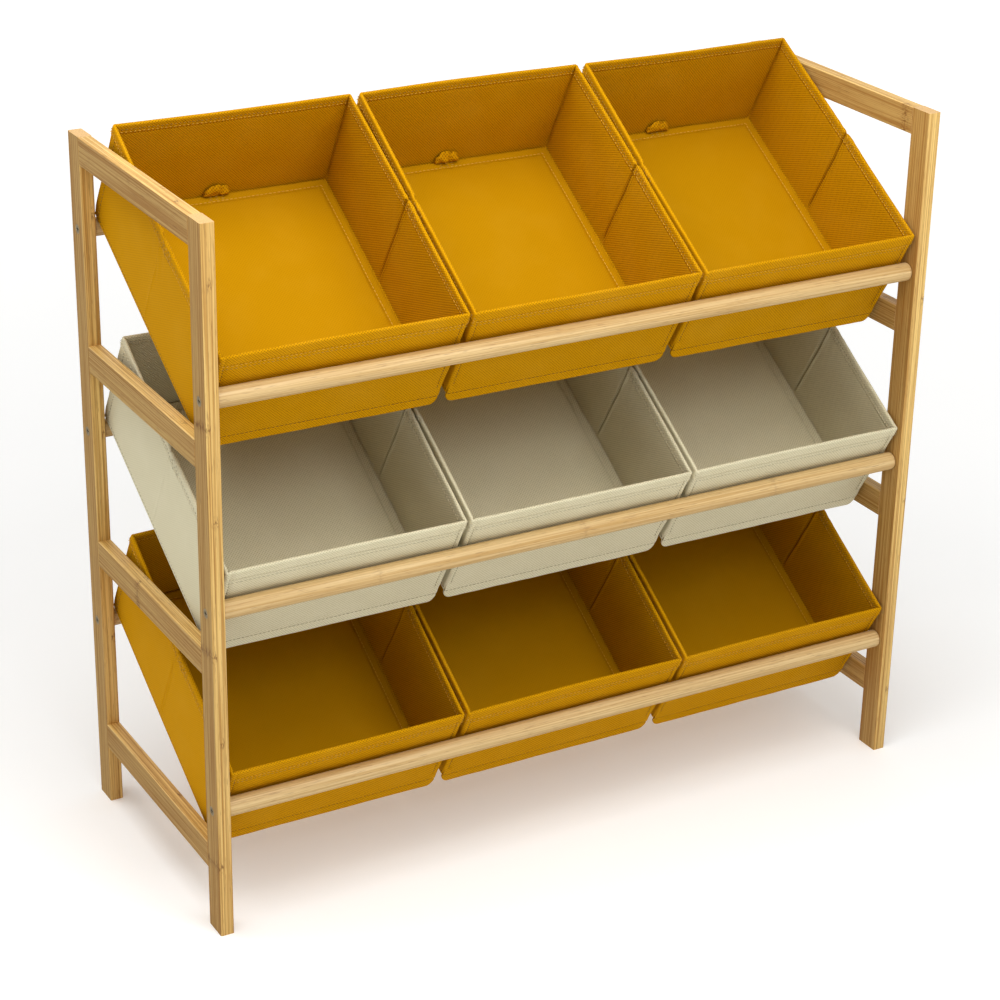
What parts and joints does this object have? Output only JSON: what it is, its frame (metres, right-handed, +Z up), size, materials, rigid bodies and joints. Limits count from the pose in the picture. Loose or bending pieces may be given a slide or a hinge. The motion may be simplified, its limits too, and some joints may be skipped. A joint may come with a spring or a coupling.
{
  "type": "storage shelf with bins",
  "caption": "Free-standing bamboo rack of upright laths, side rails and round dowels that holds tiers of tilted open cloth bins with loose base boards.",
  "frame": {"origin": "on the floor, at the middle of the shelf's width and depth", "axes": "+X to the right seen from the front, +Y to the back, +Z up; the bins fall towards -Y"},
  "size_m": [0.86, 0.34, 0.8011],
  "materials": {
    "bamboo_lath": "sanded and clear lacquered, satin",
    "bamboo_dowel": "turned, sanded and clear lacquered, satin",
    "pin_wood": "turned, bare",
    "zinc_screw": "dull zinc",
    "mustard_cloth": "plain-woven, stiffened, matt",
    "cream_cloth": "plain-woven, stiffened, matt"
  },
  "bodies": {
    "rack": {"post_front_left": "bamboo_lath", "post_front_right": "bamboo_lath", "post_rear_left": "bamboo_lath", "post_rear_right": "bamboo_lath", "rail_left_bottom": "bamboo_lath", "rail_left_lower": "bamboo_lath", "rail_left_upper": "bamboo_lath", "rail_left_top": "bamboo_lath", "rail_right_bottom": "bamboo_lath", "rail_right_lower": "bamboo_lath", "rail_right_upper": "bamboo_lath", "rail_right_top": "bamboo_lath", "dowel_front_bottom": "bamboo_dowel", "dowel_front_middle": "bamboo_dowel", "dowel_front_top": "bamboo_dowel", "dowel_rear_bottom": "bamboo_dowel", "dowel_rear_middle": "bamboo_dowel", "dowel_rear_top": "bamboo_dowel", "dowel_screws": "zinc_screw", "rail_pins": "pin_wood"},
    "bottom_left_bin": {"bin_bottom_left": "mustard_cloth"},
    "bottom_left_board": {"base_board_bottom_left": "mustard_cloth", "pull_tab_bottom_left": "mustard_cloth"},
    "bottom_centre_bin": {"bin_bottom_centre": "mustard_cloth"},
    "bottom_centre_board": {"base_board_bottom_centre": "mustard_cloth", "pull_tab_bottom_centre": "mustard_cloth"},
    "bottom_right_bin": {"bin_bottom_right": "mustard_cloth"},
    "bottom_right_board": {"base_board_bottom_right": "mustard_cloth", "pull_tab_bottom_right": "mustard_cloth"},
    "middle_left_bin": {"bin_middle_left": "cream_cloth"},
    "middle_left_board": {"base_board_middle_left": "cream_cloth", "pull_tab_middle_left": "cream_cloth"},
    "middle_centre_bin": {"bin_middle_centre": "cream_cloth"},
    "middle_centre_board": {"base_board_middle_centre": "cream_cloth", "pull_tab_middle_centre": "cream_cloth"},
    "middle_right_bin": {"bin_middle_right": "cream_cloth"},
    "middle_right_board": {"base_board_middle_right": "cream_cloth", "pull_tab_middle_right": "cream_cloth"},
    "top_left_bin": {"bin_top_left": "mustard_cloth"},
    "top_left_board": {"base_board_top_left": "mustard_cloth", "pull_tab_top_left": "mustard_cloth"},
    "top_centre_bin": {"bin_top_centre": "mustard_cloth"},
    "top_centre_board": {"base_board_top_centre": "mustard_cloth", "pull_tab_top_centre": "mustard_cloth"},
    "top_right_bin": {"bin_top_right": "mustard_cloth"},
    "top_right_board": {"base_board_top_right": "mustard_cloth", "pull_tab_top_right": "mustard_cloth"}
  },
  "joints": [
    {"name": "bottom_left_bin_lift", "type": "slide", "parent": "rack", "child": "bottom_left_bin", "axis": [0, -0.5225, 0.8526], "range_m": [0, 0.05]},
    {"name": "bottom_left_board_lift", "type": "hinge", "parent": "bottom_left_bin", "child": "bottom_left_board", "pos_m": [-0.27625, -0.09983, 0.08613], "axis": [1, 0, 0], "range_deg": [0, 20]},
    {"name": "bottom_centre_bin_lift", "type": "slide", "parent": "rack", "child": "bottom_centre_bin", "axis": [0, -0.5225, 0.8526], "range_m": [0, 0.05]},
    {"name": "bottom_centre_board_lift", "type": "hinge", "parent": "bottom_centre_bin", "child": "bottom_centre_board", "pos_m": [0, -0.09983, 0.08613], "axis": [1, 0, 0], "range_deg": [0, 20]},
    {"name": "bottom_right_bin_lift", "type": "slide", "parent": "rack", "child": "bottom_right_bin", "axis": [0, -0.5225, 0.8526], "range_m": [0, 0.05]},
    {"name": "bottom_right_board_lift", "type": "hinge", "parent": "bottom_right_bin", "child": "bottom_right_board", "pos_m": [0.27625, -0.09983, 0.08613], "axis": [1, 0, 0], "range_deg": [0, 20]},
    {"name": "middle_left_bin_lift", "type": "slide", "parent": "rack", "child": "middle_left_bin", "axis": [0, -0.5225, 0.8526], "range_m": [0, 0.05]},
    {"name": "middle_left_board_lift", "type": "hinge", "parent": "middle_left_bin", "child": "middle_left_board", "pos_m": [-0.27625, -0.09983, 0.31313], "axis": [1, 0, 0], "range_deg": [0, 20]},
    {"name": "middle_centre_bin_lift", "type": "slide", "parent": "rack", "child": "middle_centre_bin", "axis": [0, -0.5225, 0.8526], "range_m": [0, 0.05]},
    {"name": "middle_centre_board_lift", "type": "hinge", "parent": "middle_centre_bin", "child": "middle_centre_board", "pos_m": [0, -0.09983, 0.31313], "axis": [1, 0, 0], "range_deg": [0, 20]},
    {"name": "middle_right_bin_lift", "type": "slide", "parent": "rack", "child": "middle_right_bin", "axis": [0, -0.5225, 0.8526], "range_m": [0, 0.05]},
    {"name": "middle_right_board_lift", "type": "hinge", "parent": "middle_right_bin", "child": "middle_right_board", "pos_m": [0.27625, -0.09983, 0.31313], "axis": [1, 0, 0], "range_deg": [0, 20]},
    {"name": "top_left_bin_lift", "type": "slide", "parent": "rack", "child": "top_left_bin", "axis": [0, -0.5225, 0.8526], "range_m": [0, 0.25]},
    {"name": "top_left_board_lift", "type": "hinge", "parent": "top_left_bin", "child": "top_left_board", "pos_m": [-0.27625, -0.09983, 0.54013], "axis": [1, 0, 0], "range_deg": [0, 75]},
    {"name": "top_centre_bin_lift", "type": "slide", "parent": "rack", "child": "top_centre_bin", "axis": [0, -0.5225, 0.8526], "range_m": [0, 0.25]},
    {"name": "top_centre_board_lift", "type": "hinge", "parent": "top_centre_bin", "child": "top_centre_board", "pos_m": [0, -0.09983, 0.54013], "axis": [1, 0, 0], "range_deg": [0, 75]},
    {"name": "top_right_bin_lift", "type": "slide", "parent": "rack", "child": "top_right_bin", "axis": [0, -0.5225, 0.8526], "range_m": [0, 0.25]},
    {"name": "top_right_board_lift", "type": "hinge", "parent": "top_right_bin", "child": "top_right_board", "pos_m": [0.27625, -0.09983, 0.54013], "axis": [1, 0, 0], "range_deg": [0, 75]}
  ]
}
